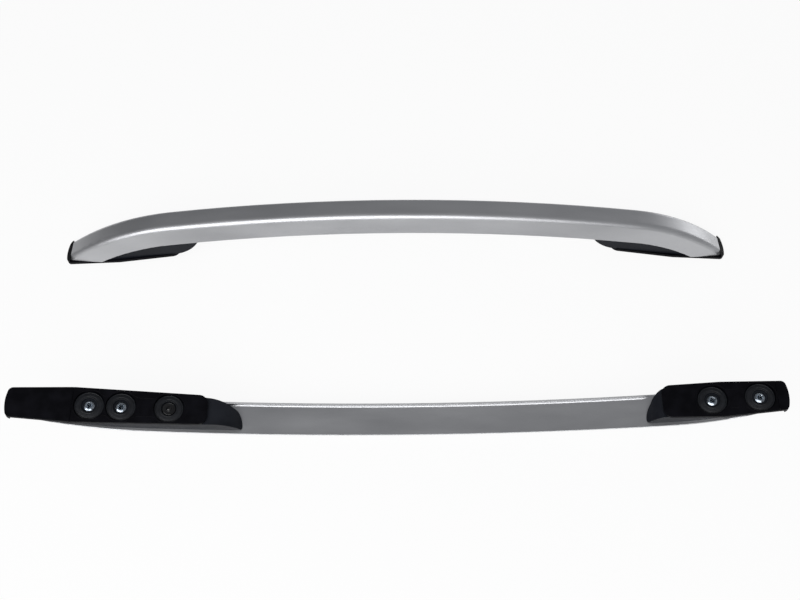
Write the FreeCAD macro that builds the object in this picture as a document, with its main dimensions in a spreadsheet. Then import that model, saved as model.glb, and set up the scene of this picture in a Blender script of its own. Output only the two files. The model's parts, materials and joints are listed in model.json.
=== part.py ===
import FreeCAD, Part
import math
import os

import Sketcher
from FreeCAD import Placement, Rotation, Vector

# A pair of roof rails: two arched hollow bars, each on two moulded feet with rubber soles.
# Rail frame: X along the rail, Z up from the roof, middle of the rail over the origin.
# Seat frame: origin at a rail's tip, x inwards along the roof seat, z square to the seat.

# Driving dimensions, in millimetres and degrees.
driving = {
    # the bar: side view and section
    "bar_length": 1200.0,
    "crown_height": 120.0,
    "crown_radius": 2900.0,
    "front_bend_radius": 400.0,
    "rear_bend_radius": 310.0,
    "tip_height": 12.0,
    "bar_depth": 33.5,
    "bar_width": 58.0,
    "bar_wall": 2.2,
    "outboard_inset": 13.0,
    "outboard_shoulder_radius": 12.0,
    "outboard_edge_radius": 0.8,
    "inboard_inset": 5.0,
    "inboard_shoulder_radius": 9.0,
    "inboard_edge_radius": 8.0,
    "cavity_corner_radius": 1.0,
    # the roof seats and the rubber soles
    "left_front_seat_angle": 6.5,
    "left_rear_seat_angle": 8.0,
    "right_front_seat_angle": 8.0,
    "right_rear_seat_angle": 8.5,
    "sole_thickness": 5.0,
    "sole_width": 57.0,
    "sole_overhang": 1.5,
    "sole_gap": 0.5,
    "sole_corner_radius": 14.0,
    "tip_width": 47.0,
    "tip_nose_radius": 70.0,
    "tip_corner_radius": 8.0,
    "tip_taper_length": 100.0,
    "end_wall": 8.0,
    "end_wall_drop": 4.0,
    # the feet
    "foot_width": 51.0,
    "foot_inner_width": 45.0,
    "foot_toe_width": 28.0,
    "foot_toe_corner": 5.0,
    "foot_toe_rounding": 8.0,
    "fairing_radius": 60.0,
    "nose_length": 100.0,
    "nose_width": 38.0,
    "nose_height": 9.0,
    "nose_rib_width": 30.0,
    "nose_rib_height": 20.0,
    "core_wall": 3.0,
    "core_floor": 4.0,
    "core_rib": 2.5,
    "joint_gap": 0.2,
    "slot_clearance": 1.0,
    # roof fixings
    "cup_diameter": 47.0,
    "seal_bore": 24.0,
    "seal_thickness": 3.5,
    "seal_clearance": 0.3,
    "bush_flange_diameter": 17.0,
    "bush_flange_thickness": 2.5,
    "bush_diameter": 12.0,
    "bush_length": 10.0,
    "bush_bore": 6.8,
    "peg_head_diameter": 21.0,
    "peg_head_height": 4.0,
    "peg_stem_diameter": 11.0,
    "peg_stem_length": 14.0,
    "press_gap": 0.05,
    # screws that hold each foot to its bar
    "screw_diameter": 6.0,
    "screw_head_diameter": 10.0,
    "screw_head_height": 6.0,
    "screw_socket": 5.0,
    "screw_socket_depth": 3.0,
    "screw_spacing": 24.0,
    "screw_sink": 2.0,
    "screw_clearance": 0.3,
    "nut_plate_length": 38.0,
    "nut_plate_width": 14.0,
    "nut_plate_thickness": 5.0,
    # how the pair lies: the left rail upright, the right one upside down in front of it
    "rail_spacing": 388.0,
    "right_roll": 10.0,
    # stations along each seat, from the rail's tip; heel is the sole's inboard half width at its end
    "left_front_pad_end": 72.0,
    "left_front_base_end": 212.0,
    "left_front_heel": 24.0,
    "left_front_toe_end": 255.0,
    "left_front_fixing_1": 98.0,
    "left_front_fixing_2": 173.0,
    "left_front_screws": 135.5,
    "left_rear_pad_end": 48.0,
    "left_rear_base_end": 215.0,
    "left_rear_heel": 24.0,
    "left_rear_toe_end": 257.0,
    "left_rear_fixing_1": 88.0,
    "left_rear_fixing_2": 162.0,
    "left_rear_screws": 125.0,
    "right_front_pad_end": 99.0,
    "right_front_base_end": 305.0,
    "right_front_heel": 24.0,
    "right_front_toe_end": 361.0,
    "right_front_fixing_1": 125.0,
    "right_front_fixing_2": 173.0,
    "right_front_peg": 246.0,
    "right_front_screws": 209.5,
    "right_rear_pad_end": 17.0,
    "right_rear_base_end": 190.0,
    "right_rear_heel": 28.0,
    "right_rear_toe_end": 215.0,
    "right_rear_fixing_1": 43.0,
    "right_rear_fixing_2": 114.5,
    "right_rear_screws": 150.0,
}

# Room that a cutting shape has beyond the piece that it cuts, and a spare turn of each bend
# that is trimmed off square at the tip.
cut_margin = "2 * Sizes.bar_depth"
spare_turn = "8 deg"

# Two points closer than this, in millimetres, are taken as one.
same_spot = 0.01

sides = ("left", "right")
ends = ("front", "rear")
outward = {"front": -1, "rear": 1}
# The direction along Y of each rail's outboard side.
outboard = {"left": -1, "right": 1}

doc = FreeCAD.newDocument("roof_rails")
sizes = doc.addObject("Spreadsheet::Sheet", "Sizes")
layout = doc.addObject("Spreadsheet::Sheet", "Layout")
subparts = []


def fill_sheet(sheet, cells):
    first = sum(1 for cell in sheet.getUsedCells() if cell.startswith("A"))
    for row, (alias, content) in enumerate(cells.items(), first + 1):
        sheet.set(f"A{row}", alias)
        sheet.set(f"B{row}", content)
        sheet.setAlias(f"B{row}", alias)
    doc.recompute()


def number(quantity):
    return float(getattr(quantity, "Value", quantity))


def size(alias):
    return number(getattr(sizes, alias))


def place(alias):
    return number(getattr(layout, alias))


def lay_out_section(flank):
    # Corner points of one flank of the bar's section, on its outer skin and in its cavity, measured
    # from the section's middle: a straight side that leans in from a lower edge to a shoulder.
    lean = f"Layout.{flank}_lean"
    cells = {f"{flank}_lean": f"=atan(Sizes.{flank}_inset / Sizes.bar_depth)"}
    corner = f"max(Sizes.{flank}_edge_radius - Sizes.bar_wall; Sizes.cavity_corner_radius)"
    for skin, wall, edge in (
        ("outer", "0", f"Sizes.{flank}_edge_radius"),
        ("inner", "Sizes.bar_wall", corner),
    ):
        top = f"(Sizes.bar_width / 2 - Sizes.{flank}_inset + {wall} * tan({lean}) - {wall} / cos({lean}))"
        shoulder = f"(Sizes.{flank}_shoulder_radius - {wall})"
        cells |= {
            f"{flank}_{skin}_shoulder_radius": f"={shoulder}",
            f"{flank}_{skin}_edge_radius": f"={edge}",
            f"{flank}_{skin}_shoulder_run": f"={shoulder} / tan(45 + {lean} / 1 deg / 2)",
            f"{flank}_{skin}_edge_run": f"={edge} / tan(45 - {lean} / 1 deg / 2)",
            f"{flank}_{skin}_top": f"={top}",
            f"{flank}_{skin}_low": f"={top} + (Sizes.bar_depth - 2 * {wall}) * tan({lean})",
        }
    return cells


def arc_centre(end, arc):
    if arc == "bend":
        return f"Layout.{end}_bend_x", f"Layout.{end}_bend_z"
    return "0", "Layout.crown_z"


def lay_out_end(end):
    # The bend at one end is tangent to the crown and reaches the tip's height at the end wall.
    # x counts outwards from the middle of the rail here.
    radius = f"Sizes.{end}_bend_radius"
    arm = f"(Sizes.crown_radius - {radius})"
    cosine = f"({arm} ^ 2 + Layout.tip_reach ^ 2 - {radius} ^ 2) / (2 * {arm} * Layout.tip_reach)"
    return {
        f"{end}_turn": f"=atan(Layout.tip_x / (Sizes.tip_height - Layout.crown_z)) - acos({cosine})",
        f"{end}_bend_x": f"={arm} * sin(Layout.{end}_turn)",
        f"{end}_bend_z": f"=Layout.crown_z + {arm} * cos(Layout.{end}_turn)",
        f"{end}_tip_turn": f"=asin((Layout.tip_x - Layout.{end}_bend_x) / {radius})",
        f"{end}_under_radius": f"={radius} - Sizes.bar_depth",
    }


def lay_out_seat(side, end):
    # the two arc centres and the joint between the arcs' undersides, in the seat frame
    key = f"{side}_{end}"
    angle = f"Sizes.{key}_seat_angle"
    arm = f"(Sizes.crown_radius - Sizes.{end}_bend_radius)"
    share = f"(Layout.{end}_under_radius - Sizes.joint_gap) / {arm}"
    cells = {}
    for arc in ("bend", "crown"):
        x, z = arc_centre(end, arc)
        reach = f"(Sizes.bar_length / 2 - {x})"
        cells[f"{key}_{arc}_seat_x"] = f"={reach} * cos({angle}) + {z} * sin({angle})"
        cells[f"{key}_{arc}_seat_z"] = f"={z} * cos({angle}) - {reach} * sin({angle})"
    for axis in "xz":
        bend = f"Layout.{key}_bend_seat_{axis}"
        cells[f"{key}_knee_{axis}"] = f"={bend} + ({bend} - Layout.{key}_crown_seat_{axis}) * {share}"
    return cells


def lay_out_screws(side, end, arc):
    # The screws of a foot stand square to the bar's underside at their station.
    # Their heads sit a set depth above the sole.
    key = f"{side}_{end}"
    centre_x, centre_z = arc_centre(end, arc)
    radius = f"Sizes.{end}_bend_radius" if arc == "bend" else "Sizes.crown_radius"
    under = f"({radius} - Sizes.bar_depth)"
    angle = f"Sizes.{key}_seat_angle"
    reach = f"(Sizes.bar_length / 2 - Layout.{key}_screw_x)"
    through = f"(Layout.{key}_screw_seat_z - Sizes.sole_thickness) / cos(Layout.{key}_screw_lean)"
    return {
        f"{key}_screw_turn": f"=asin((Sizes.bar_length / 2 - Sizes.{key}_screws - {centre_x}) / {under})",
        f"{key}_screw_x": f"={centre_x} + {under} * sin(Layout.{key}_screw_turn)",
        f"{key}_screw_z": f"={centre_z} + {under} * cos(Layout.{key}_screw_turn)",
        f"{key}_screw_seat_x": f"={reach} * cos({angle}) + Layout.{key}_screw_z * sin({angle})",
        f"{key}_screw_seat_z": f"=Layout.{key}_screw_z * cos({angle}) - {reach} * sin({angle})",
        f"{key}_screw_lean": f"=Layout.{key}_screw_turn / 1 deg - {angle}",
        f"{key}_screw_grip": f"={through} - Sizes.screw_head_height - Sizes.screw_sink",
    }


# Which arc of the bar each foot's screws go into.
screw_arc = {
    ("left", "front"): "bend",
    ("left", "rear"): "bend",
    ("right", "front"): "crown",
    ("right", "rear"): "bend",
}

fill_sheet(sizes, {alias: str(value) for alias, value in driving.items()})
fill_sheet(layout, {
    "tip_x": "=Sizes.bar_length / 2 - Sizes.end_wall",
    "crown_z": "=Sizes.crown_height - Sizes.crown_radius",
})
fill_sheet(layout, {"tip_reach": "=sqrt(Layout.tip_x ^ 2 + (Sizes.tip_height - Layout.crown_z) ^ 2)"})
for flank in ("outboard", "inboard"):
    fill_sheet(layout, lay_out_section(flank))
for end in ends:
    fill_sheet(layout, lay_out_end(end))
for (side, end), arc in screw_arc.items():
    fill_sheet(layout, lay_out_seat(side, end))
    fill_sheet(layout, lay_out_screws(side, end, arc))


def new_body(name):
    body = doc.addObject("PartDesign::Body", name)
    body.Label = name
    body.AllowCompound = True
    subparts.append(body)
    return body


def new_sketch(body, role, offset=None, turn=None):
    # A sketch on one of the body's origin planes, moved and turned by expressions in its own axes.
    plane = next(item for item in body.Origin.OriginFeatures if item.Role == role)
    sketch = body.newObject("Sketcher::SketchObject", f"{body.Name}_sketch")
    sketch.AttachmentSupport = [(plane, "")]
    sketch.MapMode = "FlatFace"
    if turn:
        axis, angle = turn
        start = number(sketch.evalExpression(angle))
        sketch.AttachmentOffset = Placement(Vector(), Rotation(axis, start))
        sketch.setExpression("AttachmentOffset.Rotation.Angle", angle)
    for axis, expression in (offset or {}).items():
        sketch.setExpression(f"AttachmentOffset.Base.{axis}", expression)
    return sketch


def bind(sketch, constraint, expression):
    index = sketch.addConstraint(constraint)
    sketch.setExpression(f"Constraints[{index}]", expression)


def draw_outline(sketch, corners):
    # A closed outline. Each corner is (x, y) or (x, y, radius): with a radius, the edge that leaves
    # the corner is an arc, which bulges to the left of its way if the sign in front is minus.
    def value(expression):
        return number(sketch.evalExpression(str(expression)))

    count = len(corners)
    spots = [Vector(value(corner[0]), value(corner[1]), 0) for corner in corners]
    starts, stops = [], []
    for index, corner in enumerate(corners):
        here, there = spots[index], spots[(index + 1) % count]
        if len(corner) == 2:
            edge = sketch.addGeometry(Part.LineSegment(here, there), False)
            starts.append((edge, 1))
            stops.append((edge, 2))
            continue
        leftward = str(corner[2]).startswith("-")
        radius = abs(value(corner[2]))
        chord = there - here
        left = Vector(-chord.y, chord.x, 0).normalize()
        height = math.sqrt(radius ** 2 - (chord.Length / 2) ** 2)
        centre = (here + there) * 0.5 + left * (-height if leftward else height)
        first, last = (there, here) if leftward else (here, there)
        from_angle = math.atan2(first.y - centre.y, first.x - centre.x)
        to_angle = math.atan2(last.y - centre.y, last.x - centre.x)
        if to_angle < from_angle:
            to_angle += 2 * math.pi
        circle = Part.Circle(centre, Vector(0, 0, 1), radius)
        edge = sketch.addGeometry(Part.ArcOfCircle(circle, from_angle, to_angle), False)
        starts.append((edge, 2 if leftward else 1))
        stops.append((edge, 1 if leftward else 2))
    for index, corner in enumerate(corners):
        sketch.addConstraint(Sketcher.Constraint("Coincident", *stops[index - 1], *starts[index]))
        bind(sketch, Sketcher.Constraint("DistanceX", *starts[index], spots[index].x), str(corner[0]))
        bind(sketch, Sketcher.Constraint("DistanceY", *starts[index], spots[index].y), str(corner[1]))
        if len(corner) == 3:
            radius = str(corner[2]).lstrip("-")
            bind(sketch, Sketcher.Constraint("Radius", starts[index][0], value(radius)), radius)


def draw_circle(sketch, x, y, diameter):
    middle = Vector(number(sketch.evalExpression(str(x))), number(sketch.evalExpression(str(y))), 0)
    across = number(sketch.evalExpression(diameter))
    circle = sketch.addGeometry(Part.Circle(middle, Vector(0, 0, 1), across / 2), False)
    bind(sketch, Sketcher.Constraint("DistanceX", circle, 3, middle.x), str(x))
    bind(sketch, Sketcher.Constraint("DistanceY", circle, 3, middle.y), str(y))
    bind(sketch, Sketcher.Constraint("Diameter", circle, across), diameter)


def draw_hexagon(sketch, y, across_flats):
    # a hexagon about (0, y), with two of its corners on the sketch's y axis
    corner = f"({across_flats} / cos(30) / 2)"
    draw_outline(sketch, [
        (f"{corner} * cos({30 + 60 * step})", f"{y} + {corner} * sin({30 + 60 * step})") for step in range(6)
    ])


def mirrored_outline(half):
    # An outline that is symmetric about its x axis, from the corners of its right-hand half.
    def opposite(expression):
        return f"-1 * ({expression})"

    other = [(x, opposite(y)) for x, y in reversed(half)]
    return half + other


def extrude(body, kind, sketch, length, symmetric=False, reverse=False):
    before = number(body.Shape.Volume) if body.Tip else 0.0
    feature = body.newObject(f"PartDesign::{kind}", f"{body.Name}_{kind.lower()}")
    feature.Profile = sketch
    feature.SideType = "Symmetric" if symmetric else "One side"
    feature.Reversed = reverse
    feature.setExpression("Length", str(length))
    doc.recompute()
    if kind == "Pocket" and body.Shape.Volume >= before:
        raise RuntimeError(f"{feature.Name} cuts nothing")
    return feature


def flank_corners(flank, skin, wall, radius, sign):
    # One flank's corners, from its lower edge up to its shoulder, on the side that the sign gives.
    cell = f"Layout.{flank}_{skin}_"
    lean = f"Layout.{flank}_lean"
    low = f"{radius} - Sizes.bar_depth + {wall}"
    high = f"{radius} - {wall}"
    side_low = f"{cell}low - {cell}edge_run * sin({lean})"
    side_high = f"{cell}top + {cell}shoulder_run * sin({lean})"
    return [
        (f"{sign} * ({cell}low - {cell}edge_run)", low),
        (f"{sign} * ({side_low})", f"{low} + {cell}edge_run * cos({lean})"),
        (f"{sign} * ({side_high})", f"{high} - {cell}shoulder_run * cos({lean})"),
        (f"{sign} * ({cell}top - {cell}shoulder_run)", high),
    ]


def draw_bar_section(sketch, side, radius):
    # The section stands on the bend's axis, with its top at the bend's radius. Its outline runs
    # along the bottom, up the flank on the +Y side, back over the top and down the other flank.
    other, first = ("inboard", "outboard")[::outboard[side]]
    for skin, wall in (("outer", "0"), ("inner", "Sizes.bar_wall")):
        up = flank_corners(first, skin, wall, radius, 1)
        down = flank_corners(other, skin, wall, radius, -1)[::-1]
        draw_outline(sketch, [
            (*up[0], f"Layout.{first}_{skin}_edge_radius"),
            up[1],
            (*up[2], f"Layout.{first}_{skin}_shoulder_radius"),
            up[3],
            (*down[0], f"Layout.{other}_{skin}_shoulder_radius"),
            down[1],
            (*down[2], f"Layout.{other}_{skin}_edge_radius"),
            down[3],
        ])


def revolve(body, sketch, angle, angle_2=None, reverse=False):
    feature = body.newObject("PartDesign::Revolution", f"{body.Name}_bend")
    feature.Profile = sketch
    feature.ReferenceAxis = (sketch, ["H_Axis"])
    feature.Reversed = reverse
    feature.setExpression("Angle", angle)
    if angle_2:
        feature.Type = "TwoAngles"
        feature.setExpression("Angle2", angle_2)
    doc.recompute()


def make_bar(side):
    body = new_body(f"{side}_bar")
    crown = new_sketch(body, "YZ_Plane", {"y": "Layout.crown_z"})
    draw_bar_section(crown, side, "Sizes.crown_radius")
    revolve(body, crown, "Layout.rear_turn", "Layout.front_turn")
    for end in ends:
        sign = outward[end]
        offset = {"y": f"Layout.{end}_bend_z", "z": f"{sign} * Layout.{end}_bend_x"}
        bend = new_sketch(body, "YZ_Plane", offset, (Vector(1, 0, 0), f"{sign} * Layout.{end}_turn"))
        draw_bar_section(bend, side, f"Sizes.{end}_bend_radius")
        turn = f"Layout.{end}_tip_turn - Layout.{end}_turn + {spare_turn}"
        revolve(body, bend, turn, reverse=end == "front")
    for end in ends:
        trim_bar_end(body, side, end)
        open_bar_underside(body, end)
        drill_bar(body, side, end)
    return body


def trim_bar_end(body, side, end):
    # square across the tip, and level with the top of the sole under it
    sign = outward[end]
    angle = f"Sizes.{side}_{end}_seat_angle"
    seat = f"Sizes.sole_thickness / cos({angle})"
    outside = f"{sign} * (Sizes.bar_length / 2 + {cut_margin})"
    inner = f"{sign} * (Sizes.bar_length / 2 - Sizes.nose_length)"
    tip = f"{sign} * Layout.tip_x"
    sketch = new_sketch(body, "XZ_Plane")
    draw_outline(sketch, [
        (tip, "Sizes.crown_height"),
        (tip, f"{seat} + Sizes.end_wall * tan({angle})"),
        (inner, f"{seat} + Sizes.nose_length * tan({angle})"),
        (inner, f"-2 * {cut_margin}"),
        (outside, f"-2 * {cut_margin}"),
        (outside, "Sizes.crown_height"),
    ])
    extrude(body, "Pocket", sketch, f"Sizes.bar_width + {cut_margin}", symmetric=True)


def open_bar_underside(body, end):
    # a slot in the bottom wall, from the tip, that the foot's nose goes up through
    sign = outward[end]
    inner_x = "(Sizes.bar_length / 2 - Sizes.nose_length - Sizes.slot_clearance)"
    outer_x = "Sizes.bar_length / 2"
    low = f"(Layout.{end}_under_radius - Sizes.bar_wall)"
    high = f"(Layout.{end}_under_radius + 1.5 * Sizes.bar_wall)"

    def on_arc(x, radius):
        return f"Layout.{end}_bend_z + sqrt({radius} ^ 2 - ({x} - Layout.{end}_bend_x) ^ 2)"

    bulge = "-" if end == "rear" else ""
    back = "" if end == "rear" else "-"
    sketch = new_sketch(body, "XZ_Plane")
    draw_outline(sketch, [
        (f"{sign} * {inner_x}", on_arc(inner_x, low), bulge + low),
        (f"{sign} * {outer_x}", on_arc(outer_x, low)),
        (f"{sign} * {outer_x}", on_arc(outer_x, high), back + high),
        (f"{sign} * {inner_x}", on_arc(inner_x, high)),
    ])
    extrude(body, "Pocket", sketch, "Sizes.nose_width + 2 * Sizes.slot_clearance", symmetric=True)


def drill_bar(body, side, end):
    key = f"Layout.{side}_{end}_screw"
    sign = outward[end]
    turn = (Vector(0, 1, 0), f"{sign} * {key}_turn")
    above = "2 * Sizes.bar_wall"
    offset = {
        "x": f"{sign} * ({key}_x + {above} * sin({key}_turn))",
        "z": f"{key}_z + {above} * cos({key}_turn)",
    }
    sketch = new_sketch(body, "XY_Plane", offset, turn)
    hole = "Sizes.screw_diameter + 2 * Sizes.screw_clearance"
    for spot in (-0.5, 0.5):
        draw_circle(sketch, 0, f"{spot} * Sizes.screw_spacing", hole)
    extrude(body, "Pocket", sketch, "4 * Sizes.bar_wall")


# Where the tip's bowed end meets its sides, along the seat.
tip_nose = "(Sizes.tip_nose_radius - sqrt(Sizes.tip_nose_radius ^ 2 - Sizes.tip_width ^ 2 / 4))"


def outer_sign(side, end):
    # the sign of the outboard side across a seat
    return -outward[end] * outboard[side]


def sole_outline(side, end):
    # Plan of the sole: a bowed tip that widens to the sole's full width, then narrows to its heel.
    key = f"{side}_{end}"
    stop = f"Sizes.{key}_base_end"
    half_tip = "Sizes.tip_width / 2"
    half_sole = "Sizes.sole_width / 2"
    heels = [f"Sizes.{key}_heel", "(Sizes.foot_inner_width / 2 + Sizes.sole_overhang)"]
    low_heel, high_heel = heels[::outer_sign(side, end)]
    return [
        (tip_nose, half_tip, "Sizes.tip_nose_radius"),
        (tip_nose, f"-1 * {half_tip}"),
        ("Sizes.tip_taper_length", f"-1 * {half_sole}"),
        (stop, f"-1 * {low_heel}"),
        (stop, high_heel),
        ("Sizes.tip_taper_length", half_sole),
    ]


def frame_outline(length):
    # a rectangle that lies well outside a foot's plan
    wide = f"(Sizes.bar_width + {cut_margin})"
    return [
        (f"-1 * {cut_margin}", f"-1 * {wide}"),
        (f"{length} + {cut_margin}", f"-1 * {wide}"),
        (f"{length} + {cut_margin}", wide),
        (f"-1 * {cut_margin}", wide),
    ]


def make_tip_pad(side, end):
    # A rubber boot: a sole under the bar's mitred end, with a low wall up its end face.
    key = f"{side}_{end}"
    angle = f"Sizes.{key}_seat_angle"
    body = new_body(f"{key}_tip_pad")

    def wall_x(z):
        return f"(Sizes.end_wall - Sizes.joint_gap + ({z}) * sin({angle})) / cos({angle})"

    wall_top = "(Sizes.tip_height - Sizes.end_wall * sin({0})) * cos({0})".format(angle)
    profile = new_sketch(body, "XZ_Plane")
    draw_outline(profile, [
        (0, 0),
        (f"Sizes.{key}_pad_end", 0),
        (f"Sizes.{key}_pad_end", "Sizes.sole_thickness"),
        (wall_x("Sizes.sole_thickness"), "Sizes.sole_thickness"),
        (wall_x(wall_top), wall_top),
        (0, f"{wall_top} - Sizes.end_wall_drop"),
    ])
    extrude(body, "Pad", profile, "Sizes.sole_width", symmetric=True)
    plan = new_sketch(body, "XY_Plane")
    draw_outline(plan, sole_outline(side, end))
    draw_outline(plan, frame_outline(f"Sizes.{key}_base_end"))
    extrude(body, "Pocket", plan, "4 * Sizes.tip_height", symmetric=True)
    nose = number(body.evalExpression(tip_nose))
    round_edges(body, "Sizes.tip_corner_radius", nose)
    return body


def fixing_stations(side, end):
    key = f"Sizes.{side}_{end}_"
    return [f"{key}fixing_1", f"{key}fixing_2"]


def seal_stations(side, end):
    # the long foot has a locating peg as well as its two threaded bushes
    peg = [f"Sizes.{side}_{end}_peg"] if has_peg(side, end) else []
    return fixing_stations(side, end) + peg


def has_peg(side, end):
    return f"{side}_{end}_peg" in driving


def make_gasket(side, end):
    key = f"{side}_{end}"
    body = new_body(f"{key}_gasket")
    plan = new_sketch(body, "XY_Plane")
    draw_outline(plan, sole_outline(side, end))
    extrude(body, "Pad", plan, "Sizes.sole_thickness")
    start = f"Sizes.{key}_pad_end + Sizes.sole_gap"
    wide = f"(Sizes.bar_width + {cut_margin})"
    cut = new_sketch(body, "XY_Plane")
    draw_outline(cut, [
        (f"-1 * {cut_margin}", f"-1 * {wide}"),
        (start, f"-1 * {wide}"),
        (start, wide),
        (f"-1 * {cut_margin}", wide),
    ])
    extrude(body, "Pocket", cut, "3 * Sizes.sole_thickness", symmetric=True)
    cups = new_sketch(body, "XY_Plane")
    for station in seal_stations(side, end):
        draw_circle(cups, station, 0, "Sizes.cup_diameter")
    extrude(body, "Pocket", cups, "3 * Sizes.sole_thickness", symmetric=True)
    round_edges(body, "Sizes.sole_corner_radius", size(f"{key}_base_end"))
    return body


def round_edges(body, radius, station):
    # rounds the upright edges at a station along the seat
    base = body.Tip
    names = []
    for index, edge in enumerate(base.Shape.Edges, 1):
        low, high = edge.Vertexes[0].Point, edge.Vertexes[-1].Point
        upright = math.hypot(high.x - low.x, high.y - low.y) < same_spot < abs(high.z - low.z)
        if upright and abs(edge.CenterOfMass.x - station) < same_spot:
            names.append(f"Edge{index}")
    fillet = body.newObject("PartDesign::Fillet", f"{body.Name}_fillet")
    fillet.Base = (base, names)
    fillet.setExpression("Radius", radius)
    doc.recompute()


def arc_height(key, arc, x, radius):
    # height in the seat frame of a point of an arc about the bend's or the crown's centre
    return f"Layout.{key}_{arc}_seat_z + sqrt({radius} ^ 2 - ({x} - Layout.{key}_{arc}_seat_x) ^ 2)"


def arc_start(key, radius):
    # where an arc about the bend's centre comes down to the top of the sole
    drop = f"(Sizes.sole_thickness - Layout.{key}_bend_seat_z)"
    return f"Layout.{key}_bend_seat_x - sqrt({radius} ^ 2 - {drop} ^ 2)"


def make_foot(side, end):
    # A moulded foot: a wedge between the seat and the bar's underside with a rounded fairing at
    # its inner end, and a stepped nose that goes up through the slot into the bar.
    key = f"{side}_{end}"
    body = new_body(f"{key}_foot")
    bend = f"(Layout.{end}_under_radius - Sizes.joint_gap)"
    crown = "(Sizes.crown_radius - Sizes.bar_depth - Sizes.joint_gap)"
    toe = f"Sizes.{key}_toe_end"
    profile = new_sketch(body, "XZ_Plane")
    draw_outline(profile, [
        (arc_start(key, bend), "Sizes.sole_thickness"),
        (f"Sizes.{key}_base_end", "Sizes.sole_thickness", "Sizes.fairing_radius"),
        (toe, arc_height(key, "crown", toe, crown), crown),
        (f"Layout.{key}_knee_x", f"Layout.{key}_knee_z", bend),
    ])
    extrude(body, "Pad", profile, "Sizes.foot_width", symmetric=True)
    for width, height in (("nose_width", "nose_height"), ("nose_rib_width", "nose_rib_height")):
        top = f"(Layout.{end}_under_radius + Sizes.{height})"
        nose = new_sketch(body, "XZ_Plane")
        draw_outline(nose, [
            (arc_start(key, top), "Sizes.sole_thickness"),
            ("Sizes.nose_length", "Sizes.sole_thickness"),
            ("Sizes.nose_length", arc_height(key, "bend", "Sizes.nose_length", top), top),
        ])
        extrude(body, "Pad", nose, f"Sizes.{width}", symmetric=True)
    trim_foot_plan(body, side, end)
    drill_foot(body, side, end)
    core_foot(body, side, end)
    return body


def trim_foot_plan(body, side, end):
    # Plan of the foot: it narrows a little to the end of its base. From there its inboard side sweeps
    # in to a rounded tongue, and its outboard side runs on to a small rounded corner.
    across = outer_sign(side, end)
    key = f"{side}_{end}"
    half_outer = "Sizes.foot_width / 2"
    half_inner = "(Sizes.foot_inner_width / 2)"
    half_inboard = f"(Sizes.{key}_heel - Sizes.sole_overhang)"
    base = f"(Sizes.{key}_base_end - Sizes.sole_corner_radius)"
    toe = f"Sizes.{key}_toe_end"
    corner = "Sizes.foot_toe_corner"
    rounding = "Sizes.foot_toe_rounding"
    sweep = f"({toe} - {rounding} - {base})"
    narrowing = f"({half_inboard} + {half_inner} - Sizes.foot_toe_width)"
    bow = f"(({sweep} ^ 2 + {narrowing} ^ 2) / (2 * {narrowing}))"
    blunt = f"(((Sizes.foot_toe_width - {corner}) ^ 2 + {rounding} ^ 2) / (2 * {rounding}))"
    turn = "" if across > 0 else "-"
    plan = new_sketch(body, "XY_Plane")
    draw_outline(plan, [
        (0, f"{-across} * {half_outer}"),
        (base, f"{-across} * {half_inboard}", turn + bow),
        (f"{toe} - {rounding}", f"{across} * ({half_inner} - Sizes.foot_toe_width)", turn + blunt),
        (toe, f"{across} * ({half_inner} - {corner})", turn + corner),
        (f"{toe} - {corner}", f"{across} * {half_inner}"),
        (0, f"{across} * {half_outer}"),
    ])
    draw_outline(plan, frame_outline(toe))
    extrude(body, "Pocket", plan, "4 * Sizes.crown_height", symmetric=True)


def drill_foot(body, side, end):
    key = f"{side}_{end}"
    bushes = new_sketch(body, "XY_Plane")
    for station in fixing_stations(side, end):
        draw_circle(bushes, station, 0, "Sizes.bush_diameter + 2 * Sizes.press_gap")
    depth = "Sizes.sole_thickness + Sizes.bush_length + Sizes.joint_gap"
    extrude(body, "Pocket", bushes, depth, reverse=True)
    if has_peg(side, end):
        peg = new_sketch(body, "XY_Plane")
        draw_circle(peg, f"Sizes.{key}_peg", 0, "Sizes.peg_stem_diameter + 2 * Sizes.press_gap")
        depth = "Sizes.sole_thickness + Sizes.peg_stem_length + Sizes.joint_gap"
        extrude(body, "Pocket", peg, depth, reverse=True)
    # screw holes, square to the bar's underside, with their heads sunk in from the sole's side
    screw = f"Layout.{key}_screw"
    turn = (Vector(0, 1, 0), f"-1 * {screw}_lean")
    for diameter, level, length in (
        ("Sizes.screw_diameter", "Sizes.bar_wall", f"Sizes.bar_wall + {screw}_grip"),
        ("Sizes.screw_head_diameter", f"(-1 * {screw}_grip)", "Sizes.crown_height / 2"),
    ):
        offset = {
            "x": f"{screw}_seat_x - {level} * sin({screw}_lean)",
            "z": f"{screw}_seat_z + {level} * cos({screw}_lean)",
        }
        sketch = new_sketch(body, "XY_Plane", offset, turn)
        hole = f"{diameter} + 2 * Sizes.screw_clearance"
        for spot in (-0.5, 0.5):
            draw_circle(sketch, 0, f"{spot} * Sizes.screw_spacing", hole)
        extrude(body, "Pocket", sketch, length)


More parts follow.
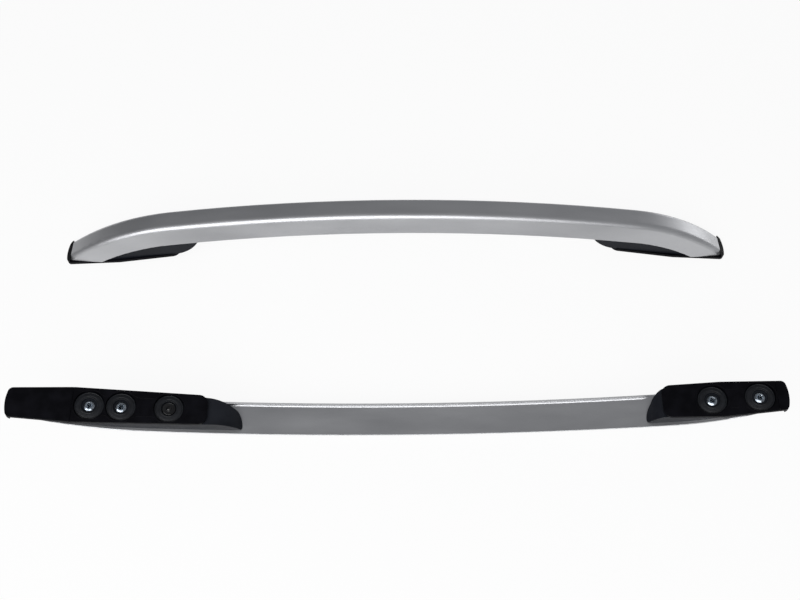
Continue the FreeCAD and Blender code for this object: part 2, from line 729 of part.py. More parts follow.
def core_foot(body, side, end):
    # Pairs of blind pockets from the bar's side, inwards from the nose and between the fixings.
    # They leave an outer wall, a middle rib, and a cross rib at each fixing.
    def value(expression):
        return number(body.evalExpression(expression))

    key = f"{side}_{end}"
    screw = f"Layout.{key}_screw"
    bush = "(Sizes.bush_diameter / 2 + Sizes.core_wall)"
    stem = "(Sizes.peg_stem_diameter / 2 + Sizes.core_wall)"
    head = "(Sizes.screw_head_diameter / 2 + Sizes.core_wall)"
    head_x = f"{screw}_seat_x + ({screw}_seat_z - Sizes.sole_thickness) * tan({screw}_lean)"
    heel = f"Sizes.{key}_base_end - Sizes.core_wall"
    solid = [(f"{station} - {bush}", f"{station} + {bush}") for station in fixing_stations(side, end)]
    solid.append((f"{screw}_seat_x - {head}", f"{head_x} + {head}"))
    if has_peg(side, end):
        solid.append((f"Sizes.{key}_peg - {stem}", f"Sizes.{key}_peg + {stem}"))
    solid.append((heel, heel))
    near = "Sizes.core_rib / 2"
    far = "(Sizes.foot_inner_width / 2 - Sizes.core_wall)"
    sketch = new_sketch(body, "XY_Plane", {"z": "Sizes.sole_thickness + Sizes.core_floor"})
    start = "Sizes.nose_length + Sizes.core_wall"
    for low, high in sorted(solid, key=lambda span: value(span[0])):
        if value(low) - value(start) > size("core_wall"):
            draw_outline(sketch, [(start, near), (low, near), (low, far), (start, far)])
            draw_outline(sketch, [(start, f"-1 * {far}"), (low, f"-1 * {far}"), (low, f"-1 * {near}"),
                                  (start, f"-1 * {near}")])
        start = max(start, high, key=value)
    extrude(body, "Pocket", sketch, "Sizes.crown_height", reverse=True)


def make_seals(side, end):
    # a rubber ring round each roof fixing, sunk a little in the sole
    body = new_body(f"{side}_{end}_seals")
    sketch = new_sketch(body, "XY_Plane", {"z": "Sizes.sole_thickness - Sizes.seal_thickness"})
    for station in seal_stations(side, end):
        draw_circle(sketch, station, 0, "Sizes.cup_diameter - 2 * Sizes.seal_clearance")
        draw_circle(sketch, station, 0, "Sizes.seal_bore")
    extrude(body, "Pad", sketch, "Sizes.seal_thickness")
    return body


def make_bushes(side, end):
    # flanged steel bushes for the roof bolts, set in the foot
    body = new_body(f"{side}_{end}_bushes")
    stations = fixing_stations(side, end)
    flange = new_sketch(body, "XY_Plane", {"z": "Sizes.sole_thickness - Sizes.bush_flange_thickness"})
    barrel = new_sketch(body, "XY_Plane", {"z": "Sizes.sole_thickness"})
    bore = new_sketch(body, "XY_Plane")
    for station in stations:
        draw_circle(flange, station, 0, "Sizes.bush_flange_diameter")
        draw_circle(barrel, station, 0, "Sizes.bush_diameter")
        draw_circle(bore, station, 0, "Sizes.bush_bore")
    extrude(body, "Pad", flange, "Sizes.bush_flange_thickness")
    extrude(body, "Pad", barrel, "Sizes.bush_length")
    depth = "Sizes.sole_thickness + Sizes.bush_length - Sizes.bush_flange_thickness / 2"
    extrude(body, "Pocket", bore, depth, reverse=True)
    return body


def make_peg(side, end):
    # a domed locating peg on a stem
    body = new_body(f"{side}_{end}_peg")
    sole = "Sizes.sole_thickness"
    half_head = "Sizes.peg_head_diameter / 2"
    half_stem = "Sizes.peg_stem_diameter / 2"
    dome = "((Sizes.peg_head_diameter ^ 2 / 4 + Sizes.peg_head_height ^ 2) / (2 * Sizes.peg_head_height))"
    sketch = new_sketch(body, "XZ_Plane")
    draw_outline(sketch, [
        (0, f"{sole} - Sizes.peg_head_height", dome),
        (half_head, sole),
        (half_stem, sole),
        (half_stem, f"{sole} + Sizes.peg_stem_length"),
        (0, f"{sole} + Sizes.peg_stem_length"),
    ])
    feature = body.newObject("PartDesign::Revolution", f"{body.Name}_turned")
    feature.Profile = sketch
    feature.ReferenceAxis = (sketch, ["V_Axis"])
    feature.Angle = 360
    doc.recompute()
    return body


def make_screws(side, end):
    # socket screws in their own frame: z up from the bar's underside
    body = new_body(f"{side}_{end}_foot_screws")
    grip = f"Layout.{side}_{end}_screw_grip"
    head_low = f"-1 * ({grip} + Sizes.screw_head_height)"
    shank_length = f"{grip} + 2 * Sizes.bar_wall + Sizes.nut_plate_thickness"
    head = new_sketch(body, "XY_Plane", {"z": head_low})
    shank = new_sketch(body, "XY_Plane", {"z": f"-1 * {grip}"})
    socket = new_sketch(body, "XY_Plane", {"z": head_low})
    for spot in (-0.5, 0.5):
        y = f"{spot} * Sizes.screw_spacing"
        draw_circle(head, 0, y, "Sizes.screw_head_diameter")
        draw_circle(shank, 0, y, "Sizes.screw_diameter")
        draw_hexagon(socket, y, "Sizes.screw_socket")
    extrude(body, "Pad", head, "Sizes.screw_head_height")
    extrude(body, "Pad", shank, shank_length)
    extrude(body, "Pocket", socket, "Sizes.screw_socket_depth", reverse=True)
    return body


def make_nut_plate(side, end):
    # a steel strip inside the bar, with a threaded hole for each screw
    body = new_body(f"{side}_{end}_nut_plate")
    half_long = "Sizes.nut_plate_length / 2"
    half_wide = "Sizes.nut_plate_width / 2"
    level = {"z": "Sizes.bar_wall + Sizes.joint_gap"}
    strip = new_sketch(body, "XY_Plane", level)
    draw_outline(strip, mirrored_outline([(half_wide, half_long), (f"-1 * {half_wide}", half_long)]))
    extrude(body, "Pad", strip, "Sizes.nut_plate_thickness")
    holes = new_sketch(body, "XY_Plane")
    for spot in (-0.5, 0.5):
        draw_circle(holes, 0, f"{spot} * Sizes.screw_spacing", "Sizes.screw_diameter + 2 * Sizes.press_gap")
    depth = "2 * (Sizes.bar_wall + Sizes.joint_gap + Sizes.nut_plate_thickness)"
    extrude(body, "Pocket", holes, depth, reverse=True)
    return body


def rail_placement(side):
    # The left rail stands on its tips. The right rail lies on its crown, rolled towards its seats.
    if side == "left":
        return Placement(Vector(0, size("rail_spacing"), 0), Rotation())
    roll = math.radians(size("right_roll"))
    shoulder = size("outboard_shoulder_radius")
    flat_end = place("outboard_outer_top") - place("outboard_outer_shoulder_run")
    lift = (size("crown_height") - shoulder) * math.cos(roll) + flat_end * math.sin(roll) + shoulder
    return Placement(Vector(0, 0, lift), Rotation(Vector(1, 0, 0), 180 + size("right_roll")))


def seat_placement(side, end):
    angle = size(f"{side}_{end}_seat_angle")
    if end == "front":
        return Placement(Vector(-size("bar_length") / 2, 0, 0), Rotation(Vector(0, 1, 0), -angle))
    turned = Rotation(Vector(0, 1, 0), angle).multiply(Rotation(Vector(0, 0, 1), 180))
    return Placement(Vector(size("bar_length") / 2, 0, 0), turned)


def screw_placement(side, end):
    key = f"{side}_{end}_screw"
    sign = outward[end]
    spot = Vector(sign * place(f"{key}_x"), 0, place(f"{key}_z"))
    return Placement(spot, Rotation(Vector(0, 1, 0), sign * place(f"{key}_turn")))


def stand(body, where):
    body.Placement = where
    doc.recompute()


for side in sides:
    rail = rail_placement(side)
    stand(make_bar(side), rail)
    for end in ends:
        seat = rail.multiply(seat_placement(side, end))
        on_bar = rail.multiply(screw_placement(side, end))
        for make in (make_foot, make_tip_pad, make_gasket, make_seals, make_bushes):
            stand(make(side, end), seat)
        if has_peg(side, end):
            peg_spot = Placement(Vector(size(f"{side}_{end}_peg"), 0, 0), Rotation())
            stand(make_peg(side, end), seat.multiply(peg_spot))
        for make in (make_screws, make_nut_plate):
            stand(make(side, end), on_bar)

# Centre the pair over the origin, standing on the floor.
whole = Part.makeCompound([body.Shape for body in subparts]).optimalBoundingBox(False)
shift = Vector(-whole.Center.x, -whole.Center.y, -whole.ZMin)
for body in subparts:
    body.Placement = Placement(shift, Rotation()).multiply(body.Placement)
doc.recompute()

failed = [item.Name for item in doc.Objects if {"Invalid", "Error"} & set(item.State)]
bad = [body.Label for body in subparts if body.Shape.isNull() or not body.Shape.isValid()]
if failed or bad:
    raise RuntimeError(f"failed objects {failed}, bad shapes {bad}")

os.makedirs("parts", exist_ok=True)
for body in subparts:
    body.Shape.exportStep(f"parts/{body.Label}.step")
    print(body.Label, len(body.Shape.Solids), "solids", round(body.Shape.Volume / 1000, 2), "cm3")
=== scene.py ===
import json
import math

import bmesh
import bpy
import numpy as np
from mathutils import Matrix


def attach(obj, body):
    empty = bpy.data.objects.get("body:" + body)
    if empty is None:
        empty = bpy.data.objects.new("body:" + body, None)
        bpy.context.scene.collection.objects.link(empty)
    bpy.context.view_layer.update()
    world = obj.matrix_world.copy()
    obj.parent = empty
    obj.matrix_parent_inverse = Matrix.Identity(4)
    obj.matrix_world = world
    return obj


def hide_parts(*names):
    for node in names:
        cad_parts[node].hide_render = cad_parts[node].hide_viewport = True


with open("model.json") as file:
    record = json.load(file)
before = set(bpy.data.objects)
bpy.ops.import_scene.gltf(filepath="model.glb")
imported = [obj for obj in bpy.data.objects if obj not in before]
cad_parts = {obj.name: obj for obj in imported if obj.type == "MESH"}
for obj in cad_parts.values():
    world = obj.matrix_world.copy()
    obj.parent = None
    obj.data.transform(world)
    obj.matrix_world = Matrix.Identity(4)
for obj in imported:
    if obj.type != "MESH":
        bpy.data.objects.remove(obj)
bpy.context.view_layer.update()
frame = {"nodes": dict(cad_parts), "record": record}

nodes = frame["nodes"]
scene = bpy.context.scene
print("frame loaded:", len(nodes), "nodes")


class Wire:
    # a socket of a node tree; arithmetic on it adds Math nodes
    def __init__(self, paint, socket):
        self.paint = paint
        self.socket = socket

    def join(self, operation, first, second):
        return self.paint.node("ShaderNodeMath", {"operation": operation}, {0: first, 1: second})

    def __add__(self, other):
        return self.join("ADD", self, other)

    __radd__ = __add__

    def __mul__(self, other):
        return self.join("MULTIPLY", self, other)

    __rmul__ = __mul__


class Paint:
    # a node tree in the making
    def __init__(self, owner):
        owner.use_nodes = True
        self.owner = owner
        self.tree = owner.node_tree
        self.tree.nodes.clear()

    def node(self, kind, settings=None, sockets=None, out=0):
        made = self.tree.nodes.new(kind)
        for key, value in (settings or {}).items():
            setattr(made, key, value)
        for key, value in (sockets or {}).items():
            if isinstance(value, Wire):
                self.tree.links.new(value.socket, made.inputs[key])
            else:
                made.inputs[key].default_value = value
        return Wire(self, made.outputs[out]) if made.outputs else None

    def spot(self, stretch, source="Object"):
        # the piece's own coordinates, or its UV map, stretched along each axis
        start = self.node("ShaderNodeTexCoord", out=source)
        return self.node("ShaderNodeMapping", sockets={"Vector": start, "Scale": stretch})

    def noise(self, where, scale, detail=2.0):
        return self.node("ShaderNodeTexNoise", sockets={"Vector": where, "Scale": scale, "Detail": detail})

    def rerange(self, value, source, target):
        # carries a range of values over to another, and holds it there
        return self.node("ShaderNodeMapRange", sockets={
            "Value": value, "From Min": source[0], "From Max": source[1],
            "To Min": target[0], "To Max": target[1]})

    def tint(self, share, first, second):
        return self.node("ShaderNodeMix", {"data_type": "RGBA"},
                         {0: share, 6: (*first, 1.0), 7: (*second, 1.0)}, out=2)

    def relief(self, height, strength, depth):
        return self.node("ShaderNodeBump", sockets={"Height": height, "Strength": strength, "Distance": depth})

    def coat(self, **sockets):
        # the finished surface
        named = {key.replace("_", " ").title().replace("Ior", "IOR"): value for key, value in sockets.items()}
        shader = self.node("ShaderNodeBsdfPrincipled", sockets=named)
        self.node("ShaderNodeOutputMaterial", sockets={"Surface": shader})
        return self.owner


def newPaint(name):
    return Paint(bpy.data.materials.new(name))


# satin silver on the bars: fine drawn lines along the bar, small metal flakes, soft handling marks
silver = {"pale": (0.52, 0.525, 0.54), "deep": (0.44, 0.445, 0.46), "sheen": (0.34, 0.44),
          "lines": 1400.0, "flakes": 2600.0, "marks": 22.0, "metal": 0.92}


def paintSilver():
    paint = newPaint("satinSilver")
    lines = paint.noise(paint.spot((0.01, 1.0, 1.0)), silver["lines"], 3.0)
    flakes = paint.noise(paint.spot((1.0, 1.0, 1.0)), silver["flakes"], 1.0)
    marks = paint.noise(paint.spot((0.25, 1.0, 1.0)), silver["marks"], 4.0)
    share = paint.rerange(flakes * 0.5 + marks * 0.5, (0.38, 0.62), (0.0, 1.0))
    satin = paint.rerange(marks * 0.7 + lines * 0.3, (0.35, 0.65), silver["sheen"])
    return paint.coat(base_color=paint.tint(share, silver["deep"], silver["pale"]), metallic=silver["metal"],
                      roughness=satin, normal=paint.relief(lines, 0.10, 0.0002))


# black moulded feet: a fine spark-eroded grain and faint flow marks
moulded = {"pale": (0.012, 0.0135, 0.018), "deep": (0.006, 0.007, 0.010), "sheen": (0.34, 0.48),
           "grain": 1500.0, "flow": 30.0, "shine": 0.13}


def paintMoulded():
    paint = newPaint("mouldedBlack")
    where = paint.spot((1.0, 1.0, 1.0))
    grain = paint.noise(where, moulded["grain"], 2.0)
    flow = paint.noise(paint.spot((0.4, 1.0, 1.0)), moulded["flow"], 3.0)
    share = paint.rerange(flow, (0.35, 0.65), (0.0, 1.0))
    return paint.coat(base_color=paint.tint(share, moulded["deep"], moulded["pale"]),
                      roughness=paint.rerange(flow * 0.6 + grain * 0.4, (0.35, 0.65), moulded["sheen"]),
                      specular_ior_level=moulded["shine"], normal=paint.relief(grain, 0.18, 0.0003))


# rubber soles: dull, with a dry bloom in patches
rubber = {"pale": (0.0030, 0.0030, 0.0050), "deep": (0.0010, 0.0010, 0.0020), "sheen": (0.46, 0.62),
          "grain": 2200.0, "bloom": 45.0, "shine": 0.08}


def paintRubber():
    paint = newPaint("soleRubber")
    grain = paint.noise(paint.spot((1.0, 1.0, 1.0)), rubber["grain"], 2.0)
    bloom = paint.noise(paint.spot((1.0, 1.0, 1.0)), rubber["bloom"], 5.0)
    share = paint.rerange(bloom, (0.42, 0.70), (0.0, 1.0))
    return paint.coat(base_color=paint.tint(share, rubber["deep"], rubber["pale"]),
                      roughness=paint.rerange(bloom, (0.35, 0.65), rubber["sheen"]),
                      specular_ior_level=rubber["shine"], normal=paint.relief(grain, 0.12, 0.0003))


# grey-black seal rings: turned rings across the face, read from the ring's own UV map
sealRing = {"pale": (0.0055, 0.0068, 0.0100), "deep": (0.0024, 0.0030, 0.0045), "sheen": (0.38, 0.50),
            "rings": 60.0, "bloom": 160.0, "shine": 0.38}


def paintSeal():
    paint = newPaint("sealRubber")
    rings = paint.noise(paint.spot((0.4, sealRing["rings"], 1.0), "UV"), 1.0, 3.0)
    bloom = paint.noise(paint.spot((1.0, 1.0, 1.0)), sealRing["bloom"], 4.0)
    share = paint.rerange(rings * 0.5 + bloom * 0.5, (0.38, 0.62), (0.0, 1.0))
    return paint.coat(base_color=paint.tint(share, sealRing["deep"], sealRing["pale"]),
                      roughness=paint.rerange(bloom, (0.35, 0.65), sealRing["sheen"]),
                      specular_ior_level=sealRing["shine"], normal=paint.relief(rings, 0.15, 0.0004))


# bright zinc on the bushes: lathe marks round the axis and a few dull spots
zinc = {"pale": (0.52, 0.58, 0.64), "deep": (0.07, 0.08, 0.10), "sheen": (0.08, 0.22),
        "marks": 90.0, "spots": 420.0}


def paintZinc(name, source):
    paint = newPaint(name)
    marks = paint.noise(paint.spot((0.5, zinc["marks"], 1.0), source), 1.0, 2.0)
    spots = paint.noise(paint.spot((1.0, 1.0, 1.0)), zinc["spots"], 4.0)
    share = paint.rerange(spots * 0.6 + marks * 0.4, (0.38, 0.62), (0.0, 1.0))
    return paint.coat(base_color=paint.tint(share, zinc["deep"], zinc["pale"]), metallic=1.0,
                      roughness=paint.rerange(spots, (0.35, 0.65), zinc["sheen"]),
                      normal=paint.relief(marks * 0.4 + spots * 0.6, 0.35, 0.0004))


# glossy black peg: a polished moulding with hair-fine scuffs
gloss = {"pale": (0.004, 0.004, 0.005), "deep": (0.0015, 0.0015, 0.002), "sheen": (0.10, 0.20),
         "scuffs": 350.0}


def paintGloss():
    paint = newPaint("pegBlack")
    scuffs = paint.noise(paint.spot((1.0, 6.0, 1.0)), gloss["scuffs"], 4.0)
    share = paint.rerange(scuffs, (0.40, 0.65), (0.0, 1.0))
    return paint.coat(base_color=paint.tint(share, gloss["deep"], gloss["pale"]),
                      roughness=paint.rerange(scuffs, (0.35, 0.65), gloss["sheen"]),
                      normal=paint.relief(scuffs, 0.04, 0.0002))


finishes = {
    "bar": paintSilver(),
    "foot": paintMoulded(),
    "rubber": paintRubber(),
    "seal": paintSeal(),
    "bush": paintZinc("turnedZinc", "UV"),
    "peg": paintGloss(),
    "screw": paintZinc("platedZinc", "Object"),
}
for part in frame["record"]["subparts"]:
    holder = nodes[part["node"]]
    holder.data.materials.clear()
    holder.data.materials.append(finishes[part["material_slot"]])
print("finishes on", len(nodes), "nodes")


# how the two rails lie, in metres and degrees: the near one upside down
lay = {"x": -0.0000232, "left": (0.192575, 0.0, 0.0), "right": (-0.195425, 0.119711, 190.0),
       "half": 0.6}
seats = {("left", "front"): 6.5, ("left", "rear"): 8.0, ("right", "front"): 8.0, ("right", "rear"): 8.5}


def railFrame(side):
    # the rail's own origin, under its middle, and its turn about the length
    y, z, roll = lay[side]
    c, s = math.cos(math.radians(roll)), math.sin(math.radians(roll))
    return np.array([lay["x"], y, z]), np.array([[1.0, 0.0, 0.0], [0.0, c, -s], [0.0, s, c]])


def seatFrame(side, end):
    # the seat's origin at the rail's tip and its axes: inwards along the roof, across, and up into the foot
    middle, turn = railFrame(side)
    angle = math.radians(seats[side, end])
    sign = -1.0 if end == "front" else 1.0
    inwards = np.array([-sign * math.cos(angle), 0.0, math.sin(angle)])
    across = np.array([0.0, -sign, 0.0])
    upwards = np.array([sign * math.sin(angle), 0.0, math.cos(angle)])
    origin = turn @ np.array([sign * lay["half"], 0.0, 0.0]) + middle
    return origin, np.stack([turn @ inwards, turn @ across, turn @ upwards])


def gridFaces(rows, columns, start=0):
    # the quads of a grid of rows by columns of points, closed round the columns
    row, column = np.meshgrid(np.arange(rows - 1), np.arange(columns), indexing="ij")
    after = (column + 1) % columns
    quads = np.stack([row * columns + column, row * columns + after,
                      (row + 1) * columns + after, (row + 1) * columns + column], axis=-1)
    return quads.reshape(-1, 4) + start


shells = {"merge": 1e-6, "crease": 80.0}


def newPiece(name, points, faces, uv, slot):
    mesh = bpy.data.meshes.new(name)
    mesh.from_pydata(points.tolist(), [], faces.tolist())
    mesh.uv_layers.new(name="UVMap")
    corners = np.empty(len(mesh.loops), dtype=np.int32)
    mesh.loops.foreach_get("vertex_index", corners)
    mesh.uv_layers[0].data.foreach_set("uv", uv[corners].astype(np.float32).ravel())
    mesh.polygons.foreach_set("use_smooth", np.ones(len(mesh.polygons), dtype=bool))
    mesh.materials.append(finishes[slot])
    shell = bmesh.new()
    shell.from_mesh(mesh)
    bmesh.ops.remove_doubles(shell, verts=shell.verts, dist=shells["merge"])  # closes poles and seams
    shell.to_mesh(mesh)
    shell.free()
    mesh.set_sharp_from_angle(angle=math.radians(shells["crease"]))
    piece = bpy.data.objects.new(name, mesh)
    scene.collection.objects.link(piece)
    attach(piece, "root")
    return piece


fixings = {
    ("left", "front"): (0.098, 0.173),
    ("left", "rear"): (0.088, 0.162),
    ("right", "front"): (0.125, 0.173),
    ("right", "rear"): (0.043, 0.1145),
}
pegs = {("right", "front"): 0.246}
soleThick = 0.005


def cups(side, end):
    # where the sole's round cups sit along the seat: both fixings, and the peg where there is one
    return fixings[side, end] + ((pegs[side, end],) if (side, end) in pegs else ())


def turned(profile, stations, seat, wave=None, steps=72):
    # A turned surface: each profile point (radius, height out from the foot's base) goes round the
    # fixing's axis; wave gives a change of radius from the height and the angle, as a thread does.
    # A profile runs outwards over the face and back underneath, so that its faces point outwards.
    origin, axes = seat
    radius, height = (column[:, None] for column in np.array(profile, dtype=float).T)
    angle = np.linspace(0.0, 2.0 * math.pi, steps, endpoint=False)[None, :]
    grown = radius + (wave(radius, height, angle) if wave else 0.0)
    inwards, across, upwards = axes
    local = (grown * np.cos(angle))[..., None] * inwards + (grown * np.sin(angle))[..., None] * across
    local = local + (soleThick - height)[..., None] * upwards
    count = len(profile)
    along = np.concatenate([[0.0], np.cumsum(np.hypot(np.diff(radius[:, 0]), np.diff(height[:, 0])))])
    uvRing = np.stack(np.broadcast_arrays(angle / (2.0 * math.pi), along[:, None] * 100.0), axis=-1)
    points = [origin + station * inwards + local.reshape(-1, 3) for station in stations]
    faces = [gridFaces(count, steps, index * count * steps) for index in range(len(stations))]
    uv = np.tile(uvRing.reshape(-1, 2), (len(stations), 1))
    return np.concatenate(points), np.concatenate(faces), uv


def softened(corners, radius=0.0004, steps=4):
    # a profile whose inner corners are rounded: points on a curve from one side of each to the other
    corners = np.array(corners, dtype=float)
    before, here, after = corners[:-2], corners[1:-1], corners[2:]
    toBefore, toAfter = before - here, after - here
    reachBefore = np.minimum(radius / np.linalg.norm(toBefore, axis=1), 0.45)[:, None, None]
    reachAfter = np.minimum(radius / np.linalg.norm(toAfter, axis=1), 0.45)[:, None, None]
    t = np.linspace(0.0, 1.0, steps + 1)[None, :, None]
    first = here[:, None, :] + toBefore[:, None, :] * reachBefore
    last = here[:, None, :] + toAfter[:, None, :] * reachAfter
    curve = first * (1 - t) ** 2 + here[:, None, :] * 2 * t * (1 - t) + last * t ** 2
    return np.concatenate([corners[:1], curve.reshape(-1, 2), corners[-1:]])


# the seal rings: bore, raised inner lip, and a face with two shallow grooves that slopes to a bevelled rim
ring = {"bore": 0.0120, "lip": 0.0136, "rim": 0.0232, "face": 0.0035, "groove": 0.0004, "slope": 10.0,
        "cuts": ((0.0140, 0.0149), (0.0199, 0.0206)), "cutSide": 0.0003, "bevel": (0.0012, 0.0008)}


def makeSeals(side, end):
    # Height at radius r: level as far as the lip, then a cone; each groove drops by its depth.
    rim, (bevelWidth, bevelDrop) = ring["rim"], ring["bevel"]
    steps = [(ring["lip"], 0.0)]
    for start, stop in ring["cuts"]:
        steps += [(start - ring["cutSide"], 0.0), (start, ring["groove"]), (stop, ring["groove"]),
                  (stop + ring["cutSide"], 0.0)]
    steps += [(rim - bevelWidth, 0.0), (rim, bevelDrop)]
    fall = math.tan(math.radians(ring["slope"]))
    face = [(r, ring["face"] - drop - fall * (r - ring["lip"])) for r, drop in steps]
    base = (ring["bore"], 0.0)
    profile = softened([base, (ring["bore"], ring["face"])] + face + [(rim, 0.0), base])
    points, faces, uv = turned(profile, cups(side, end), seatFrame(side, end))
    piece = newPiece(f"{side}_{end}_seal_rings", points, faces, uv, "seal")
    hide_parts(f"{side}_{end}_seals")


# the bushes: a blind threaded bore, a countersink, the flange's face, its chamfered rim and the barrel
bush = {"bore": 0.0034, "floor": -0.0087, "mouth": 0.0049, "flange": 0.0085, "face": 0.0025,
        "pitch": 0.00125, "thread": 0.00045, "chamfer": (0.0026, 0.0015), "barrel": 0.0060, "end": -0.0100}


def threadWave(radius, height, angle):
    # a rounded thread in the bore: the radius swells once for each pitch of height and each turn
    inBore = (np.abs(radius - bush["bore"]) < 1e-6) & (height > bush["floor"] + 0.0005)
    phase = 2.0 * math.pi * height / bush["pitch"] - angle
    return np.where(inBore, bush["thread"] * (0.5 + 0.5 * np.cos(phase)), 0.0)


def makeBushes(side, end):
    chamferWidth, chamferDrop = bush["chamfer"]
    mouthDepth = bush["face"] - (bush["mouth"] - bush["bore"])
    bore = np.linspace(bush["floor"], mouthDepth - 0.0002, 70)
    inner = np.stack([np.full_like(bore, bush["bore"]), bore], axis=1)
    outer = softened([
        (bush["bore"], mouthDepth), (bush["mouth"], bush["face"]),
        (bush["flange"] - chamferWidth, bush["face"]), (bush["flange"], bush["face"] - chamferDrop),
        (bush["flange"], 0.0), (bush["barrel"], 0.0), (bush["barrel"], bush["end"]), (0.0, bush["end"])],
        radius=0.0002, steps=3)
    profile = np.concatenate([[(0.0, bush["floor"])], inner, outer])
    points, faces, uv = turned(profile, fixings[side, end], seatFrame(side, end), wave=threadWave, steps=56)
    piece = newPiece(f"{side}_{end}_threaded_bushes", points, faces, uv, "bush")
    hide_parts(f"{side}_{end}_bushes")


# the locating peg: a round nub that stands in a dished flange with a rounded rim, on a stem
nub = {"radius": 0.0105, "height": 0.0040, "ball": 0.0045, "dish": 0.0012, "rise": 0.0010, "rim": 0.9,
       "rounding": 0.75, "stem": 0.0055, "end": -0.0140}


def makePeg(side, end):
    # Height at r: the higher of a ball, whose top is the peg's top, and a dish that rises towards its rim
    # as the fourth power of r and then falls round a quarter circle to the skirt.
    share = np.concatenate([np.linspace(0.0, 0.86, 40), np.linspace(0.87, 1.0, 12)])
    r = share * nub["radius"]
    ball = nub["height"] - nub["ball"] + np.sqrt(np.clip(nub["ball"] ** 2 - r ** 2, 0.0, None))
    dish = nub["dish"] + nub["rise"] * (share / nub["rim"]) ** 4
    fall = np.clip((share - nub["rim"]) / (1.0 - nub["rim"]), 0.0, 1.0)
    rounded = (nub["dish"] + nub["rise"]) * np.sqrt(1.0 - nub["rounding"] * fall ** 2)
    height = np.maximum(ball, np.where(fall > 0.0, rounded, dish))
    stem = [(nub["radius"], 0.0), (nub["stem"], 0.0), (nub["stem"], nub["end"]), (0.0, nub["end"])]
    profile = np.concatenate([np.stack([r, height], axis=1), stem])
    points, faces, uv = turned(profile, (pegs[side, end],), seatFrame(side, end))
    piece = newPiece(f"{side}_{end}_domed_peg", points, faces, uv, "peg")
    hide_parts(f"{side}_{end}_peg")


# a moulded lip on each sole, round the fixings and waisted between them
lip = {"reach": 0.0262, "limit": 0.0244, "waist": 0.0150, "width": 0.0014, "height": 0.0005}


def makeLip(side, end):
    # Half width at x: the largest of the circles about the fixings and the waist, held inside the sole.
    # The path runs along one side and back along the other; a half-round profile is carried along it.
    origin, (inwards, across, upwards) = seatFrame(side, end)
    centres = np.array(cups(side, end))
    first, last = centres.min() - lip["reach"], centres.max() + lip["reach"]
    sweep = np.linspace(0.0, math.pi, 160)
    x = (first + last) / 2 - (last - first) / 2 * np.cos(sweep)
    circles = np.sqrt(np.clip(lip["reach"] ** 2 - (x[:, None] - centres) ** 2, 0.0, None)).max(axis=1)
    inside = (x > centres.min()) & (x < centres.max())
    half = np.minimum(np.where(inside, np.maximum(circles, lip["waist"]), circles), lip["limit"])
    half = np.convolve(np.pad(half, 3, mode="edge"), np.ones(7) / 7, mode="valid") * np.sin(sweep) ** 0.15
    path = np.concatenate([np.stack([x, half], axis=1), np.stack([x, -half], axis=1)[-2:0:-1]])
    way = np.roll(path, -1, axis=0) - np.roll(path, 1, axis=0)
    way /= np.linalg.norm(way, axis=1, keepdims=True)
    side2d = np.stack([way[:, 1], -way[:, 0]], axis=1)
    bow = np.append(np.linspace(0.0, math.pi, 9), 0.0)  # the last row is the first again, past a flat base
    offset, rise = np.cos(bow) * lip["width"] / 2, np.sin(bow) * lip["height"]
    flat = path[None, :, :] + side2d[None, :, :] * offset[:, None, None]
    points = origin + flat[..., 0, None] * inwards + flat[..., 1, None] * across
    points = points - rise[:, None, None] * upwards
    count = len(path)
    uv = np.stack(np.broadcast_arrays(np.arange(count) / count, bow[:, None]), axis=-1).reshape(-1, 2)
    faces = gridFaces(len(bow), count)[:, ::-1]
    newPiece(f"{side}_{end}_sole_lip", points.reshape(-1, 3), faces, uv, "rubber")


# a rolled hem on the inboard edge of each bar's underside, between the feet
hem = {"under": 2.8665, "centre": -2.780, "edge": 0.01972, "edgeRadius": 0.008, "foot": 0.0170,
       "fillet": 0.0040, "slope": 62.0, "crest": 0.0007, "tuck": -78.0, "outer": (0.0256, -0.0030),
       "sink": 0.0003, "wrap": 0.8, "fade": 0.014,
       "left": (1.0, -0.374, 0.372), "right": (-1.0, -0.279, 0.401)}  # side, start and stop along the rail


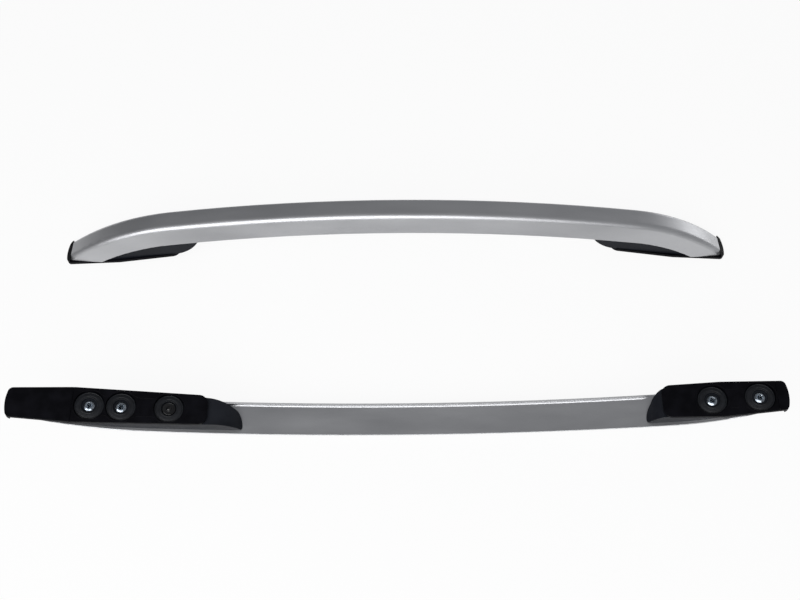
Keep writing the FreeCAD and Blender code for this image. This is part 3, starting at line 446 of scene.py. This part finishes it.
def makeHem(side):
    # Profile across the bar (q out towards the inboard edge, h away from the underside): a hollow fillet
    # up from the flat, a rounded crest, and a side that drops to the bar's own rounded edge. It is carried
    # along the crown's arc, and sinks into the bar at both ends. The way back lies just inside the skin.
    sign, first, last = hem[side]
    rise = np.radians(np.linspace(0.0, hem["slope"], 12))
    hollow = hem["fillet"] * np.stack([np.sin(rise), 1.0 - np.cos(rise)], axis=1) + (hem["foot"], 0.0)
    over = np.radians(np.linspace(hem["slope"], hem["tuck"], 18))
    bend = np.stack([np.sin(rise[-1]) - np.sin(over), np.cos(over) - np.cos(rise[-1])], axis=1)
    crown = hollow[-1] + hem["crest"] * bend
    drop = np.linspace(crown[-1], hem["outer"], 8)
    raised = np.concatenate([hollow, crown[1:], drop[1:]])
    turn = np.arcsin(np.clip((raised[:, 0] - hem["edge"]) / hem["edgeRadius"], 0.0, hem["wrap"]))
    inner = hem["edgeRadius"] - hem["sink"]
    skin = np.stack([np.where(turn > 0, hem["edge"] + inner * np.sin(turn), raised[:, 0]),
                     inner * np.cos(turn) - hem["edgeRadius"]], axis=1)
    x = np.linspace(first, last, 240)
    grow = np.clip(np.minimum(x - first, last - x) / hem["fade"], 0.0, 1.0)
    grow = (grow * grow * (3.0 - 2.0 * grow))[:, None, None]
    back = np.broadcast_to(skin[::-1], (len(x),) + skin.shape)
    section = np.concatenate([skin + (raised - skin) * grow, back], axis=1)
    phi = np.arcsin(x / hem["under"])[:, None]
    reach = hem["under"] - section[..., 1]
    height = hem["centre"] + reach * np.cos(phi)
    local = np.stack([reach * np.sin(phi), sign * section[..., 0], height], axis=-1)
    origin, roll = railFrame(side)
    points = origin + local @ roll.T
    count = section.shape[1]
    along = np.broadcast_to(x[:, None], points.shape[:2])
    uv = np.stack([along, np.broadcast_to(np.arange(count) / count, points.shape[:2])], axis=-1)
    faces = gridFaces(len(x), count)[:, ::int(sign)]
    newPiece(f"{side}_rolled_hem", points.reshape(-1, 3), faces, uv.reshape(-1, 2), "bar")


for side in ("left", "right"):
    makeHem(side)
for side, end in fixings:
    makeSeals(side, end)
    makeBushes(side, end)
    makeLip(side, end)
for side, end in pegs:
    makePeg(side, end)
print("hems, fixings and sole lips made")


# studio: white floor, grey room, a wide soft light over the camera and a weaker one at the back right
studio = {"floorSize": 200.0, "floor": (0.90, 0.90, 0.90), "backing": 0.92, "roomLeft": (0.17, 0.172, 0.178),
          "roomRight": (0.36, 0.365, 0.375)}
lamps = {
    "frontBox": {"where": (-0.9, -2.2, 1.9), "target": (-0.2, 0.0, 0.05), "size": (4.0, 2.0), "power": 94.0},
    "rightBox": {"where": (2.3, 1.9, 0.45), "target": (0.4, 0.1, 0.05), "size": (1.4, 0.5), "power": 6.5},
}


def makeFloor():
    # matt white that camera and mirror rays see as nearly plain white
    s = studio["floorSize"]
    mesh = bpy.data.meshes.new("floor")
    mesh.from_pydata([(-s, -s, 0.0), (s, -s, 0.0), (s, s, 0.0), (-s, s, 0.0)], [], [(0, 1, 2, 3)])
    floor = bpy.data.objects.new("floor", mesh)
    scene.collection.objects.link(floor)
    paint = newPaint("floorWhite")
    lightPath = [paint.node("ShaderNodeLightPath", out=name)
                 for name in ("Is Camera Ray", "Is Glossy Ray", "Is Transmission Ray")]
    seen = (lightPath[0] + lightPath[1] + lightPath[2]) * studio["backing"]
    matt = paint.node("ShaderNodeBsdfDiffuse", sockets={"Color": (*studio["floor"], 1.0)})
    white = paint.node("ShaderNodeEmission", sockets={"Color": (1.0, 1.0, 1.0, 1.0), "Strength": 1.0})
    both = paint.node("ShaderNodeMixShader", sockets={0: seen, 1: matt, 2: white})
    paint.node("ShaderNodeOutputMaterial", sockets={"Surface": both})
    mesh.materials.append(paint.owner)


def makeLamp(name, where, target, size, power):
    data = bpy.data.lights.new(name, "AREA")
    data.shape = "RECTANGLE"
    data.size, data.size_y = size
    data.energy = power
    lamp = bpy.data.objects.new(name, data)
    lamp.location = where
    aim = np.array(target) - np.array(where)
    lamp.rotation_euler = (math.atan2(math.hypot(aim[0], aim[1]), -aim[2]), 0.0, math.atan2(-aim[0], aim[1]))
    scene.collection.objects.link(lamp)


makeFloor()
world = bpy.data.worlds.new("room")
scene.world = world
room = Paint(world)
heading = room.node("ShaderNodeTexCoord", out="Generated")
rightward = room.rerange(room.node("ShaderNodeSeparateXYZ", sockets={0: heading}), (-0.8, 0.8), (0.0, 1.0))
shade = room.tint(rightward, studio["roomLeft"], studio["roomRight"])  # the room is dimmer on the left
sky = room.node("ShaderNodeBackground", sockets={"Color": shade, "Strength": 1.0})
room.node("ShaderNodeOutputWorld", sockets={"Surface": sky})
for name, lamp in lamps.items():
    makeLamp(name, **lamp)
print("floor and lamps set")


# camera fitted to the photograph's 800 by 600 frame
view = {"where": (-0.0051, -1.0529, 1.5086), "tilt": 36.96, "pan": -0.57, "lens": 47.82}
lensData = bpy.data.cameras.new("photoCamera")
lensData.lens = view["lens"]
lensData.sensor_width = 36.0
camera = bpy.data.objects.new("photoCamera", lensData)
camera.location = view["where"]
camera.rotation_euler = (math.radians(view["tilt"]), 0.0, math.radians(view["pan"]))
scene.collection.objects.link(camera)
scene.camera = camera
scene.view_settings.view_transform = "Standard"

print("done")
